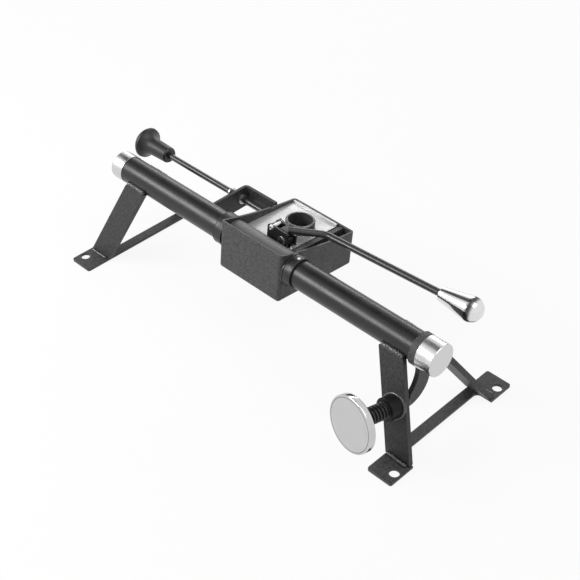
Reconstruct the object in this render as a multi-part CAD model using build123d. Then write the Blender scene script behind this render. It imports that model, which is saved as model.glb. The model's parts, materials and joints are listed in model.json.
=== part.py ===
from build123d import *
import math
import os

# Office chair tilt mechanism with a torsion bar, standing upside down on its four seat tabs.
# The origin is the centre of the four seat bolts, on the plane that the tabs rest on.
# +Z is up as it stands, +X is the side of the lift lever and -Y the side of the tension knob.
# All lengths are in millimetres and all angles in degrees.

# Seat bolts and the two side plates
BOLT_PITCH_X = 488.0
BOLT_PITCH_Y = 166.0
BOLT_HOLE_DIAMETER = 11.0
PLATE_THICKNESS = 3.0
TAB_OVERHANG = 14.0
TAB_WIDTH = 31.0
TAB_LENGTH = 33.5
HOLE_TO_EDGE = 7.5
RAIL_WIDTH = 12.0
TAB_CORNER_RADIUS = 2.5
RAIL_FILLET_RADIUS = 6.0

# Cross tube and the line that everything tilts about
AXIS_Y = -19.3
AXIS_Z = 108.1
TUBE_DIAMETER = 32.0
TUBE_WALL = 2.5
TUBE_LEFT_OVERHANG = 11.0
TUBE_RIGHT_OVERHANG = 4.0

# Legs of flat bar
LEG_THICKNESS = 6.0
LEG_TOP_X = 178.0
FRONT_FOOT_Y = -68.8
FRONT_LEG_PROUD = 0.7
FRONT_LEG_SHORT = 11.4
REAR_FOOT_Y = 71.0
REAR_LEG_PROUD = 1.8
REAR_LEG_SHORT = 9.5

# Fits: fixed together, turning or sliding, and free
SEAT_CLEARANCE = 0.02
RUNNING_CLEARANCE = 0.05
FREE_GAP = 0.3
OVERRUN = 5.0

# Torsion bar and the plugs that hold its ends
BAR_DIAMETER = 12.0
BAR_END_INSET = 4.0
PLUG_DEPTH = 20.0
LEFT_CAP_LENGTH = 18.0
RIGHT_CAP_LENGTH = 20.0
CAP_WALL = 3.5
CAP_LIP = 0.6
CAP_EDGE_RADIUS = 2.0

# Tilt housing of folded sheet, in a frame of its own that is turned about the tube
REST_TILT = 5.7
TILT_RANGE = 15.0
SHEET = 2.5
HOUSING_LEFT = -49.5
HOUSING_RIGHT = 41.5
HOUSING_REAR = 96.4
HOUSING_BOTTOM = -35.8
FRONT_TOP = 23.5
MIDDLE_TOP = 13.6
MIDDLE_Y = 30.0
REAR_TOP = 6.3
CORNER_BEND = 4.0
FLOOR_BEND = 3.5

# Bushes that carry the housing on the tube
BUSH_WALL = 1.0
BUSH_COLLAR_WALL = 2.2
BUSH_COLLAR_LENGTH = 11.0
BUSH_FLANGE = 2.9
BUSH_FLANGE_THICKNESS = 2.0

# Cover plate, upright rib and gas lift sleeve
COVER_THICKNESS = 3.0
COVER_TOP = 4.0
COVER_RIGHT = 19.0
COVER_LIP_INSET = 0.3
RIB_LEFT = 22.5
RIB_THICKNESS = 5.0
RIB_TOP = 5.0
SLEEVE_X = -3.5
SLEEVE_Y = 56.8
SLEEVE_TOP = 16.0
SLEEVE_LENGTH = 40.0
SLEEVE_MOUTH_DIAMETER = 28.0
SLEEVE_END_DIAMETER = 26.2
SLEEVE_WALL = 2.5
SLEEVE_CHAMFER = 0.8

# Anchor that ties the middle of the bar to the housing through a window in the tube
ANCHOR_LENGTH = 40.0
ANCHOR_FLAT = 8.5
NECK_WIDTH = 10.0
FOOT_LENGTH = 60.0
FOOT_WIDTH = 24.0
FOOT_THICKNESS = 5.0
ANCHOR_SCREW_DIAMETER = 8.0
FOOT_END_MARGIN = 7.0
ANCHOR_HEAD_GAP = 0.5
ANCHOR_SCREW_FLATS = 13.0
ANCHOR_SCREW_HEAD = 5.0
ANCHOR_SCREW_CLEARANCE = 0.3
WINDOW_MARGIN = 1.0

# Lever bracket, its two pins and the lift lever
BRACKET_SHEET = 2.5
BRACKET_TUBE_GAP = 1.2
BRACKET_OPENING = 10.3
BRACKET_LEFT = -14.5
BRACKET_RIGHT = 15.0
BRACKET_TOP = 22.0
BRACKET_SKIRT = 8.0
BRACKET_CORNER_RADIUS = 3.0
REAR_CHEEK_STEP_X = 5.5
REAR_CHEEK_STEP_TOP = 14.6
PIVOT_X = 7.0
PIVOT_Z = 10.0
PIVOT_DIAMETER = 6.0
STOP_X = -8.5
STOP_Z = 19.5
STOP_DIAMETER = 5.0
PIN_PROUD = 0.8
HUB_DIAMETER = 13.0
TAIL_LEFT = -10.5
TAIL_TOP = 15.0
TAIL_HEIGHT = 8.0
LUG_WIDTH = 10.5
LUG_TOP = 22.5
TOE_WIDTH = 8.0
TOE_STEM = 4.5
TOE_THICKNESS = 3.0
TOE_DROP = 3.6
TOE_PAD_LENGTH = 9.0
TOE_PAD_HEIGHT = 0.8
ROD_DIAMETER = 7.8
ROD_Z = 21.0
ROD_START_X = 8.2
ROD_START_Y = 25.4
ROD_BEND_X = 39.9
ROD_BEND_Y = 50.4
ROD_BEND_RADIUS = 16.0
HANDLE_X = 222.9
HANDLE_Y = 63.9
HANDLE_BALL_DIAMETER = 27.0
HANDLE_NECK_DIAMETER = 15.0
HANDLE_NECK_LENGTH = 35.5
HANDLE_SOCKET_DEPTH = 20.0

# Tilt lock: bracket, sliding rod, clips and knob, placed from the tube's line
LOCK_BACK = 59.3
LOCK_DROP = 9.5
LOCK_ROD_DIAMETER = 7.2
LOCK_TRAVEL = 12.0
LOCK_TIP_GAP = 1.0
LOCK_HOLE_CLEARANCE = 0.4
STRAP_THICKNESS = 3.6
STRAP_HEIGHT = 26.0
STRAP_LEFT = -101.0
STRAP_REAR = 69.9
STRAP_WALL_GAP = 1.5
STRAP_BEND = 2.0
STRAP_START_SHARE = 0.8
CLIP_DIAMETER = 12.0
CLIP_THICKNESS = 2.0
KNOB_OVERHANG = 2.0
KNOB_LENGTH = 53.0
KNOB_NECK_DIAMETER = 19.2
KNOB_DIAMETER = 37.6
KNOB_DOME_RADIUS = 21.6
KNOB_SOCKET_DEPTH = 18.0

# Tension adjuster on the right front leg
BOLT_CROSS_HEIGHT = 52.95
BOLT_YAW = 9.0
BOLT_RISE = 8.0
BOLT_DIAMETER = 18.0
BOLT_STAND_OUT = 57.2
BOLT_REACH = 8.5
DISC_DIAMETER = 61.0
DISC_THICKNESS = 8.0
DISC_EDGE_RADIUS = 1.2
BOSS_DIAMETER = 25.0
BOSS_LENGTH = 12.0
THRUST_DIAMETER = 14.0
THRUST_BODY = 4.0
ARM_THICKNESS = 8.0
ARM_FLAT_THICKNESS = 5.0
ARM_HUB_DIAMETER = 36.0
ARM_END_ABOVE = 5.5
ARM_END_BELOW = 9.5

# Values that follow from those above
TUBE_RADIUS = TUBE_DIAMETER / 2
TUBE_BORE = TUBE_RADIUS - TUBE_WALL
BAR_RADIUS = BAR_DIAMETER / 2
TUBE_LEFT = -(LEG_TOP_X + TAB_WIDTH + TUBE_LEFT_OVERHANG)
TUBE_RIGHT = LEG_TOP_X + TAB_WIDTH + TUBE_RIGHT_OVERHANG
KNOB_START = TUBE_LEFT - KNOB_OVERHANG
PLATE_LENGTH = BOLT_PITCH_Y + 2 * TAB_OVERHANG
PLATE_INNER = BOLT_PITCH_X / 2 + HOLE_TO_EDGE - TAB_WIDTH
HOUSING_FRONT = -(TUBE_RADIUS + FREE_GAP + SHEET)
HOUSING_MIDDLE = (HOUSING_LEFT + HOUSING_RIGHT) / 2
ANCHOR_SCREW_PITCH = FOOT_LENGTH - 2 * FOOT_END_MARGIN
ANCHOR_SCREW_CORNERS = ANCHOR_SCREW_FLATS / math.cos(math.pi / 6)
NECK_LENGTH = ANCHOR_SCREW_PITCH - ANCHOR_SCREW_CORNERS - 2 * ANCHOR_HEAD_GAP
CHEEK_FRONT = TUBE_RADIUS + BRACKET_TUBE_GAP
CHEEK_INNER = CHEEK_FRONT + BRACKET_SHEET
CHEEK_REAR = CHEEK_INNER + BRACKET_OPENING
LOCK_Y = AXIS_Y + LOCK_BACK
LOCK_Z = AXIS_Z - LOCK_DROP
ARM_LEFT = TUBE_RIGHT + FREE_GAP
ARM_RIGHT = ARM_LEFT + ARM_THICKNESS
LEFT_CAP_END = TUBE_LEFT - LEFT_CAP_LENGTH
RIGHT_CAP_END = ARM_RIGHT + RIGHT_CAP_LENGTH
HOUSING_PLACE = Location((0, AXIS_Y, AXIS_Z), (-REST_TILT, 0, 0))


def x_bar(start, end, radius, y=0, z=0):
    """A round bar along X."""
    return extrude(Plane.YZ.offset(start) * Pos(y, z) * Circle(radius), amount=end - start)


def y_bar(start, end, radius, x, z):
    """A round bar along Y."""
    return Pos(x, start, z) * Rot(-90, 0, 0) * extrude(Circle(radius), amount=end - start)


def bar_along(point, direction, length, radius):
    """A round bar from a point along any direction."""
    return Plane(origin=point, z_dir=direction) * extrude(Circle(radius), amount=length)


def block(x_span, y_span, z_span):
    """A block between three pairs of limits."""
    spans = (x_span, y_span, z_span)
    middle = [(low + high) / 2 for low, high in spans]
    size = [high - low for low, high in spans]
    return Pos(*middle) * Box(*size)


def on_axis(start, end, radius):
    """A round bar on the tube's own line."""
    return x_bar(start, end, radius, AXIS_Y, AXIS_Z)


def spun(outline, place):
    """A turned piece: a half outline in X and Y, spun about X and put in place."""
    return place * revolve(make_face(outline), axis=Axis.X)


def side_plate():
    """The right side plate: two bolt tabs joined by a narrow rail."""
    outer = PLATE_INNER + TAB_WIDTH
    tab_start = PLATE_LENGTH / 2 - TAB_LENGTH
    plate = block((PLATE_INNER, outer), (-PLATE_LENGTH / 2, PLATE_LENGTH / 2), (0, PLATE_THICKNESS))
    gap = block((PLATE_INNER + RAIL_WIDTH, outer + OVERRUN), (-tab_start, tab_start),
                (-OVERRUN, PLATE_THICKNESS + OVERRUN))
    inner_corners = gap.edges().filter_by(Axis.Z).sort_by(Axis.X)[:2]
    gap = fillet(inner_corners, RAIL_FILLET_RADIUS)
    plate = fillet(plate.edges().filter_by(Axis.Z), TAB_CORNER_RADIUS) - gap
    for row in (-1, 1):
        centre = Pos(BOLT_PITCH_X / 2, row * BOLT_PITCH_Y / 2, -OVERRUN)
        hole = extrude(Circle(BOLT_HOLE_DIAMETER / 2), amount=PLATE_THICKNESS + 2 * OVERRUN)
        plate -= centre * hole
    return plate


def leg_line(foot_y, proud, short):
    """The lean of a leg from upright and its length along its outer face."""
    back = abs(AXIS_Y - foot_y)
    reach = math.hypot(back, AXIS_Z)
    stand_off = TUBE_RADIUS + proud
    lean = math.atan2(back, AXIS_Z) - math.asin(stand_off / reach)
    return lean, math.sqrt(reach**2 - stand_off**2) - short


def leg(foot_y, proud, short, side):
    """A right leg of flat bar. Side is -1 for the front leg and 1 for the rear one."""
    lean, length = leg_line(foot_y, proud, short)
    up = Vector(0, -side * math.sin(lean), math.cos(lean))
    plane = Plane(origin=(0, foot_y, 0), x_dir=(1, 0, 0), z_dir=Vector(1, 0, 0).cross(up))
    splay = (LEG_TOP_X - PLATE_INNER) / length
    low = -LEG_THICKNESS
    corners = [(PLATE_INNER + splay * low, low), (PLATE_INNER + TAB_WIDTH + splay * low, low),
               (LEG_TOP_X + TAB_WIDTH, length), (LEG_TOP_X, length)]
    bar = extrude(plane * Polygon(*corners, align=None), amount=side * LEG_THICKNESS)
    below = block((0, BOLT_PITCH_X), (-PLATE_LENGTH, PLATE_LENGTH), (-AXIS_Z, PLATE_THICKNESS))
    return bar - below - on_axis(0, BOLT_PITCH_X, TUBE_RADIUS)


def bolt_line():
    """Where the tension bolt crosses the front leg's face, and its direction out of the leg."""
    lean, length = leg_line(FRONT_FOOT_Y, FRONT_LEG_PROUD, FRONT_LEG_SHORT)
    along = BOLT_CROSS_HEIGHT / math.cos(lean)
    x = PLATE_INNER + TAB_WIDTH / 2 + (LEG_TOP_X - PLATE_INNER) * along / length
    point = Vector(x, FRONT_FOOT_Y + along * math.sin(lean), BOLT_CROSS_HEIGHT)
    yaw = math.radians(BOLT_YAW)
    rise = math.radians(BOLT_RISE)
    out = Vector(-math.sin(yaw) * math.cos(rise), -math.cos(yaw) * math.cos(rise), math.sin(rise))
    return point, out


def cross_tube():
    """The tube, with the window that the anchor's neck reaches through."""
    tube = on_axis(TUBE_LEFT, TUBE_RIGHT, TUBE_RADIUS) - on_axis(TUBE_LEFT, TUBE_RIGHT, TUBE_BORE)
    half = math.degrees(math.asin(NECK_WIDTH / 2 / TUBE_BORE)) + WINDOW_MARGIN
    rear_side = REST_TILT - half
    front_side = REST_TILT + TILT_RANGE + half
    reach = TUBE_DIAMETER
    corners = [(0, 0)]
    for share in (0, 0.5, 1):
        angle = math.radians(rear_side + share * (front_side - rear_side))
        corners.append((-reach * math.sin(angle), -reach * math.cos(angle)))
    wedge = make_face(Polyline(*corners, close=True))
    start = HOUSING_MIDDLE - NECK_LENGTH / 2 - FREE_GAP
    place = Plane.YZ.offset(start) * Pos(AXIS_Y, AXIS_Z)
    return tube - extrude(place * wedge, amount=NECK_LENGTH + 2 * FREE_GAP)


def end_cap(start, end, radius):
    """A bright cup over a plug, from its open rim at the start to its closed end."""
    side = math.copysign(1, end - start)
    cup = on_axis(min(start, end), max(start, end), radius)
    rim = cup.edges().filter_by(GeomType.CIRCLE).sort_by(Axis.X)[-1 if side > 0 else 0]
    cup = fillet(rim, CAP_EDGE_RADIUS)
    floor = end - side * CAP_WALL
    bore = TUBE_BORE + SEAT_CLEARANCE
    return cup - on_axis(min(start, floor), max(start, floor), bore)


def end_plug(inner, outer, radius, bore):
    """A plug that holds one end of the torsion bar."""
    low = min(inner, outer)
    high = max(inner, outer)
    return on_axis(low, high, radius) - on_axis(low, high, bore)


def lock_bracket():
    """The bent strap behind the tube that guides the lock rod."""
    rear = AXIS_Y + STRAP_REAR
    right = HOUSING_LEFT - STRAP_WALL_GAP
    start = AXIS_Y + TUBE_RADIUS * STRAP_START_SHARE
    heights = (LOCK_Z - STRAP_HEIGHT / 2, LOCK_Z + STRAP_HEIGHT / 2)
    strap = block((STRAP_LEFT, right), (start, rear), heights)
    outer_corner = strap.edges().filter_by(Axis.Z).sort_by(Axis.X)[:2].sort_by(Axis.Y)[-1]
    strap = fillet(outer_corner, STRAP_BEND + STRAP_THICKNESS)
    inside = block((STRAP_LEFT + STRAP_THICKNESS, right + OVERRUN),
                   (start - OVERRUN, rear - STRAP_THICKNESS),
                   (heights[0] - OVERRUN, heights[1] + OVERRUN))
    inner_corner = inside.edges().filter_by(Axis.Z).sort_by(Axis.X)[:2].sort_by(Axis.Y)[-1]
    strap -= fillet(inner_corner, STRAP_BEND)
    strap -= on_axis(STRAP_LEFT, right, TUBE_RADIUS)
    hole_radius = LOCK_ROD_DIAMETER / 2 + RUNNING_CLEARANCE
    return strap - x_bar(STRAP_LEFT, STRAP_LEFT + STRAP_THICKNESS, hole_radius, LOCK_Y, LOCK_Z)


def lock_holes():
    """Cutters for the housing wall: the hole for the upright stop and the notch for recline."""
    radius = LOCK_ROD_DIAMETER / 2 + LOCK_HOLE_CLEARANCE
    cutters = []
    for tilt in (REST_TILT, REST_TILT + TILT_RANGE):
        angle = math.radians(tilt)
        y = LOCK_BACK * math.cos(angle) + LOCK_DROP * math.sin(angle)
        z = LOCK_BACK * math.sin(angle) - LOCK_DROP * math.cos(angle)
        cutters.append(x_bar(HOUSING_LEFT - OVERRUN, HOUSING_LEFT + SHEET + OVERRUN, radius, y, z))
    notch_mouth = block((HOUSING_LEFT - OVERRUN, HOUSING_LEFT + SHEET + OVERRUN),
                        (y - radius, y + radius), (z, z + FRONT_TOP))
    cutters.append(notch_mouth)
    return cutters


def tilt_housing():
    """The folded steel box, open on top, with its sloping side edges."""
    floor = HOUSING_BOTTOM
    outside = block((HOUSING_LEFT, HOUSING_RIGHT), (HOUSING_FRONT, HOUSING_REAR), (floor, FRONT_TOP))
    outside = fillet(outside.edges().filter_by(Axis.Z), CORNER_BEND)
    outside = fillet(outside.faces().sort_by(Axis.Z)[0].edges(), FLOOR_BEND)
    inside = block((HOUSING_LEFT + SHEET, HOUSING_RIGHT - SHEET),
                   (HOUSING_FRONT + SHEET, HOUSING_REAR - SHEET), (floor + SHEET, FRONT_TOP + OVERRUN))
    inside = fillet(inside.edges().filter_by(Axis.Z), CORNER_BEND - SHEET)
    front = HOUSING_FRONT - OVERRUN
    rear = HOUSING_REAR
    slope = Line((HOUSING_FRONT, FRONT_TOP), (front, FRONT_TOP))
    edge = ThreePointArc((HOUSING_FRONT, FRONT_TOP), (MIDDLE_Y, MIDDLE_TOP), (rear, REAR_TOP))
    rest = Polyline((rear, REAR_TOP), (rear + OVERRUN, REAR_TOP), (rear + OVERRUN, floor - OVERRUN),
                    (front, floor - OVERRUN), (front, FRONT_TOP))
    profile = make_face([slope, edge, rest])
    start = HOUSING_LEFT - OVERRUN
    kept = extrude(Plane.YZ.offset(start) * profile, amount=HOUSING_RIGHT + OVERRUN - start)
    box = (outside - inside) & kept
    bush_radius = TUBE_RADIUS + RUNNING_CLEARANCE + BUSH_WALL
    box -= x_bar(HOUSING_LEFT - OVERRUN, HOUSING_RIGHT + OVERRUN, bush_radius)
    for cutter in lock_holes():
        box -= cutter
    hole_radius = ANCHOR_SCREW_DIAMETER / 2 + ANCHOR_SCREW_CLEARANCE
    for x in screw_places():
        box -= Pos(x, 0, floor - OVERRUN) * extrude(Circle(hole_radius), amount=SHEET + 2 * OVERRUN)
    return box


def pivot_bush(side):
    """A flanged bush in a side wall. Side is -1 for the left wall and 1 for the right one."""
    wall = HOUSING_LEFT if side < 0 else HOUSING_RIGHT
    bore = TUBE_RADIUS + RUNNING_CLEARANCE
    spans = ((-SHEET, 0, BUSH_WALL), (0, BUSH_FLANGE_THICKNESS, BUSH_FLANGE),
             (BUSH_FLANGE_THICKNESS, BUSH_COLLAR_LENGTH, BUSH_COLLAR_WALL))
    bush = None
    for near, far, thickness in spans:
        low, high = sorted((wall + side * near, wall + side * far))
        step = x_bar(low, high, bore + thickness)
        bush = step if bush is None else bush + step
    low, high = sorted((wall - side * SHEET, wall + side * BUSH_COLLAR_LENGTH))
    return bush - x_bar(low, high, bore)


def gas_sleeve():
    """The tapered socket that a gas cylinder wedges into from above."""
    outer = SLEEVE_MOUTH_DIAMETER / 2 + SLEEVE_WALL
    tube = extrude(Circle(outer), amount=SLEEVE_LENGTH)
    tube = chamfer(tube.edges().filter_by(GeomType.CIRCLE), SLEEVE_CHAMFER)
    taper = Cone(SLEEVE_END_DIAMETER / 2, SLEEVE_MOUTH_DIAMETER / 2, SLEEVE_LENGTH,
                 align=(Align.CENTER, Align.CENTER, Align.MIN))
    return Pos(SLEEVE_X, SLEEVE_Y, SLEEVE_TOP - SLEEVE_LENGTH) * (tube - taper)


def cone_plate():
    """The bright plate that carries the sleeve and the lever bracket, turned up at the rear wall."""
    heights = (COVER_TOP - COVER_THICKNESS, COVER_TOP)
    rear = HOUSING_REAR - SHEET
    plate = block((HOUSING_LEFT + SHEET, COVER_RIGHT), (CHEEK_INNER, rear), heights)
    plate += block((HOUSING_LEFT + SHEET, COVER_RIGHT), (rear - COVER_THICKNESS, rear),
                   (heights[0], REAR_TOP - COVER_LIP_INSET))
    corners = plate.edges().filter_by(Axis.Z).sort_by(Axis.Y)[-2:]
    plate = fillet(corners, CORNER_BEND - SHEET)
    bore = SLEEVE_MOUTH_DIAMETER / 2 + SLEEVE_WALL + SEAT_CLEARANCE
    hole = extrude(Circle(bore), amount=COVER_THICKNESS + 2 * OVERRUN)
    plate -= Pos(SLEEVE_X, SLEEVE_Y, heights[0] - OVERRUN) * hole
    mouth = block((BRACKET_LEFT + BRACKET_SHEET, BRACKET_RIGHT), (CHEEK_INNER - OVERRUN, CHEEK_REAR),
                  (heights[0] - OVERRUN, heights[1] + OVERRUN))
    return plate - mouth


def guide_rib():
    """The upright strip beside the plate, standing on the housing floor."""
    return block((RIB_LEFT, RIB_LEFT + RIB_THICKNESS), (CHEEK_INNER, HOUSING_REAR - SHEET),
                 (HOUSING_BOTTOM + SHEET, RIB_TOP))


def screw_places():
    """Where the two anchor screws stand along X."""
    return [HOUSING_MIDDLE + side * ANCHOR_SCREW_PITCH / 2 for side in (-1, 1)]


def torsion_anchor():
    """The block inside the tube that grips the middle of the bar."""
    start = HOUSING_MIDDLE - ANCHOR_LENGTH / 2
    end = start + ANCHOR_LENGTH
    core = x_bar(start, end, TUBE_BORE - FREE_GAP) - x_bar(start, end, BAR_RADIUS + RUNNING_CLEARANCE)
    flat = block((start, end), (-TUBE_RADIUS, TUBE_RADIUS), (-TUBE_RADIUS, -ANCHOR_FLAT))
    return core - flat


def anchor_foot():
    """The neck through the tube's window and its foot on the housing floor."""
    floor = HOUSING_BOTTOM + SHEET
    neck = block((HOUSING_MIDDLE - NECK_LENGTH / 2, HOUSING_MIDDLE + NECK_LENGTH / 2),
                 (-NECK_WIDTH / 2, NECK_WIDTH / 2), (floor, -ANCHOR_FLAT))
    foot = block((HOUSING_MIDDLE - FOOT_LENGTH / 2, HOUSING_MIDDLE + FOOT_LENGTH / 2),
                 (-FOOT_WIDTH / 2, FOOT_WIDTH / 2), (floor, floor + FOOT_THICKNESS))
    piece = neck + foot
    hole_radius = ANCHOR_SCREW_DIAMETER / 2 + ANCHOR_SCREW_CLEARANCE
    for x in screw_places():
        piece -= Pos(x, 0, floor) * extrude(Circle(hole_radius), amount=FOOT_THICKNESS)
    return piece


def anchor_screws():
    """The two hexagon screws that hold the foot, as one group."""
    seat = HOUSING_BOTTOM + SHEET + FOOT_THICKNESS
    screws = []
    for x in screw_places():
        head = extrude(RegularPolygon(ANCHOR_SCREW_FLATS / 2, 6, major_radius=False),
                       amount=ANCHOR_SCREW_HEAD)
        shank_length = seat - HOUSING_BOTTOM
        shank = Pos(0, 0, -shank_length) * extrude(Circle(ANCHOR_SCREW_DIAMETER / 2), amount=shank_length)
        screws.append(Pos(x, 0, seat) * (head + shank))
    return Compound(children=screws)


def lever_bracket():
    """The bracket on the plate: two cheeks joined at the left, the rear one cut low for the rod."""
    rear_face = CHEEK_REAR + BRACKET_SHEET
    front = block((BRACKET_LEFT, BRACKET_RIGHT), (CHEEK_FRONT, CHEEK_INNER),
                  (COVER_TOP - BRACKET_SKIRT, BRACKET_TOP))
    top_corners = front.edges().filter_by(Axis.Y).sort_by(Axis.Z)[-2:]
    front = fillet(top_corners, BRACKET_CORNER_RADIUS)
    rear_high = block((BRACKET_LEFT, REAR_CHEEK_STEP_X), (CHEEK_REAR, rear_face),
                      (COVER_TOP, BRACKET_TOP))
    rear_high = fillet(rear_high.edges().filter_by(Axis.Y).sort_by(Axis.Z)[-2:], BRACKET_CORNER_RADIUS)
    rear_low = block((REAR_CHEEK_STEP_X, BRACKET_RIGHT), (CHEEK_REAR, rear_face),
                     (COVER_TOP, REAR_CHEEK_STEP_TOP))
    web = block((BRACKET_LEFT, BRACKET_LEFT + BRACKET_SHEET), (CHEEK_INNER, CHEEK_REAR),
                (COVER_TOP, BRACKET_TOP - BRACKET_CORNER_RADIUS))
    bracket = front + rear_high + rear_low + web
    for x, z, diameter in ((PIVOT_X, PIVOT_Z, PIVOT_DIAMETER), (STOP_X, STOP_Z, STOP_DIAMETER)):
        bracket -= y_bar(CHEEK_FRONT, rear_face, diameter / 2 + SEAT_CLEARANCE, x, z)
    return bracket


def lever_pin(x, z, diameter):
    """A pin through both cheeks of the bracket."""
    return y_bar(CHEEK_FRONT - PIN_PROUD, CHEEK_REAR + BRACKET_SHEET + PIN_PROUD, diameter / 2, x, z)


def lift_rod():
    """The bent rod of the lift lever, from the rocker to inside the handle."""
    run = Vector(HANDLE_X - ROD_BEND_X, HANDLE_Y - ROD_BEND_Y, 0)
    start = Vector(ROD_START_X, ROD_START_Y, ROD_Z)
    bend = Vector(ROD_BEND_X, ROD_BEND_Y, ROD_Z)
    end = bend + run.normalized() * (run.length - HANDLE_NECK_LENGTH + HANDLE_SOCKET_DEPTH)
    path = FilletPolyline(start, bend, end, radius=ROD_BEND_RADIUS)
    return sweep(Plane(origin=start, z_dir=bend - start) * Circle(ROD_DIAMETER / 2), path=path)


def lever_rocker():
    """The rocker between the cheeks: hub, tail, lug for the rod, and the toe under the sleeve."""
    near = CHEEK_INNER + FREE_GAP
    far = CHEEK_REAR - FREE_GAP
    body = y_bar(near, far, HUB_DIAMETER / 2, PIVOT_X, PIVOT_Z)
    body += block((TAIL_LEFT, PIVOT_X), (near, far), (TAIL_TOP - TAIL_HEIGHT, TAIL_TOP))
    body += block((PIVOT_X - LUG_WIDTH / 2, PIVOT_X + LUG_WIDTH / 2), (near, far), (PIVOT_Z, LUG_TOP))
    sides = (SLEEVE_X - TOE_WIDTH / 2, SLEEVE_X + TOE_WIDTH / 2)
    toe_top = SLEEVE_TOP - SLEEVE_LENGTH - TOE_DROP
    middle = (near + far) / 2
    stem = (middle - TOE_STEM / 2, middle + TOE_STEM / 2)
    pad = (SLEEVE_Y - TOE_PAD_LENGTH / 2, SLEEVE_Y + TOE_PAD_LENGTH / 2)
    body += block(sides, stem, (toe_top - TOE_THICKNESS, TAIL_TOP))
    body += block(sides, (stem[0], pad[1]), (toe_top - TOE_THICKNESS, toe_top))
    body += block(sides, pad, (toe_top, toe_top + TOE_PAD_HEIGHT))
    body -= y_bar(near, far, PIVOT_DIAMETER / 2 + RUNNING_CLEARANCE, PIVOT_X, PIVOT_Z)
    return body - lift_rod()


def lift_handle():
    """The bright teardrop handle, turned about the rod's last run."""
    turn = math.degrees(math.atan2(HANDLE_Y - ROD_BEND_Y, HANDLE_X - ROD_BEND_X))
    ball = HANDLE_BALL_DIAMETER / 2
    neck = HANDLE_NECK_DIAMETER / 2
    slope = math.asin((ball - neck) / HANDLE_NECK_LENGTH)
    touch = (-ball * math.sin(slope), ball * math.cos(slope))
    crown = ball * math.sqrt(0.5)
    outline = [Line((-HANDLE_NECK_LENGTH, 0), (-HANDLE_NECK_LENGTH, neck)),
               Line((-HANDLE_NECK_LENGTH, neck), touch),
               ThreePointArc(touch, (crown, crown), (ball, 0)),
               Line((ball, 0), (-HANDLE_NECK_LENGTH, 0))]
    handle = spun(outline, Pos(HANDLE_X, HANDLE_Y, ROD_Z) * Rot(0, 0, turn))
    return handle - lift_rod()


def lock_rod():
    """The sliding rod, from inside its knob to just short of the housing wall."""
    return x_bar(KNOB_START - KNOB_SOCKET_DEPTH, HOUSING_LEFT - LOCK_TIP_GAP, LOCK_ROD_DIAMETER / 2,
                 LOCK_Y, LOCK_Z)


def lock_clips():
    """The clips on the rod, one each side of the strap, that stop it in and out."""
    inner = STRAP_LEFT + STRAP_THICKNESS + FREE_GAP
    outer = STRAP_LEFT - LOCK_TRAVEL - FREE_GAP - CLIP_THICKNESS
    rings = []
    for start in (outer, inner):
        ring = x_bar(start, start + CLIP_THICKNESS, CLIP_DIAMETER / 2, LOCK_Y, LOCK_Z)
        rings.append(ring - x_bar(start, start + CLIP_THICKNESS, LOCK_ROD_DIAMETER / 2 + SEAT_CLEARANCE,
                                  LOCK_Y, LOCK_Z))
    return Compound(children=rings)


def lock_knob():
    """The black mushroom knob, turned about the rod."""
    neck = KNOB_NECK_DIAMETER / 2
    cap = KNOB_DIAMETER / 2
    half_angle = math.asin(cap / KNOB_DOME_RADIUS) / 2
    dome_centre = KNOB_DOME_RADIUS - KNOB_LENGTH
    edge = (dome_centre - math.sqrt(KNOB_DOME_RADIUS**2 - cap**2), cap)
    crown = (dome_centre - KNOB_DOME_RADIUS * math.cos(half_angle), KNOB_DOME_RADIUS * math.sin(half_angle))
    length_shares = {"lip": 0.05, "throat": 0.62, "flare": 0.82, "rim": 0.94}
    radius_shares = {"mouth": 0.86, "throat": 1.08, "flare": 0.70, "rim": 0.97}
    mouth = (0, neck * radius_shares["mouth"])
    lip = (edge[0] * length_shares["lip"], neck)
    throat = (edge[0] * length_shares["throat"], neck * radius_shares["throat"])
    flare = (edge[0] * length_shares["flare"], cap * radius_shares["flare"])
    rim = (edge[0] * length_shares["rim"], cap * radius_shares["rim"])
    outline = [Line((0, 0), mouth), Line(mouth, lip), Line(lip, throat),
               ThreePointArc(throat, flare, rim), Line(rim, edge),
               ThreePointArc(edge, crown, (-KNOB_LENGTH, 0)),
               Line((-KNOB_LENGTH, 0), (0, 0))]
    knob = spun(outline, Pos(KNOB_START, LOCK_Y, LOCK_Z))
    socket = x_bar(KNOB_START - KNOB_SOCKET_DEPTH, KNOB_START, LOCK_ROD_DIAMETER / 2 + SEAT_CLEARANCE,
                   LOCK_Y, LOCK_Z)
    return knob - socket


def right_front_leg(point, out):
    """The leg that the tension bolt passes through."""
    hole = bar_along(point - out * BOSS_LENGTH, out, 2 * BOSS_LENGTH, BOLT_DIAMETER / 2 + FREE_GAP)
    return leg(FRONT_FOOT_Y, FRONT_LEG_PROUD, FRONT_LEG_SHORT, -1) - hole


def tension_boss(point, out):
    """The threaded boss welded on the leg, cut to sit flush on it."""
    boss = bar_along(point - out * BOSS_LENGTH, out, 2 * BOSS_LENGTH, BOSS_DIAMETER / 2)
    bore = bar_along(point - out * BOSS_LENGTH, out, 2 * BOSS_LENGTH,
                     BOLT_DIAMETER / 2 + RUNNING_CLEARANCE)
    lean = leg_line(FRONT_FOOT_Y, FRONT_LEG_PROUD, FRONT_LEG_SHORT)[0]
    inward = Vector(0, math.cos(lean), -math.sin(lean))
    behind = Plane(origin=point, z_dir=inward) * extrude(Circle(BOSS_DIAMETER), amount=2 * BOSS_LENGTH)
    return boss - bore - behind


def tension_bolt(point, out):
    """The bolt that the knob turns, from the disc's back to just inside the leg."""
    return bar_along(point - out * BOLT_REACH, out, BOLT_STAND_OUT - DISC_THICKNESS + BOLT_REACH,
                     BOLT_DIAMETER / 2)


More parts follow.
